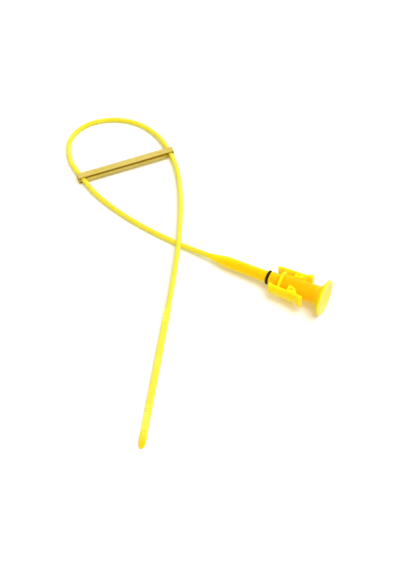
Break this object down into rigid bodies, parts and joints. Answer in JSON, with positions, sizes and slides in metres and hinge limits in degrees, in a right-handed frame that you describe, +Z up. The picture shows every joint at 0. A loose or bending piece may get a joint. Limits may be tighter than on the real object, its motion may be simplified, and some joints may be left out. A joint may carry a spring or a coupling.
{
  "type": "engine oil dipstick",
  "caption": "Moulded yellow engine oil dipstick with thumb disc, squeeze arms, sealed plug and flat measuring blade; its long rod is curled into a loop held by a brass tube.",
  "frame": {"origin": "middle of the part's outline seen from above, on the surface that it lies on", "axes": "+Z up, away from that surface; the handle and its plug point along -X and tilt 5 degrees down towards the plug's nose; the thumb disc is at the +X end and the blade's tip is the furthest point towards -Y"},
  "size_m": [0.2546, 0.2572, 0.0271],
  "materials": {
    "yellow_plastic": "satin, slightly translucent moulded yellow",
    "black_rubber": "smooth, faint sheen",
    "brass": "bright drawn tube, fine lengthwise lines"
  },
  "bodies": {
    "root": {"dipstick": "yellow_plastic", "o_ring": "black_rubber", "loop_tube": "brass"}
  },
  "joints": []
}
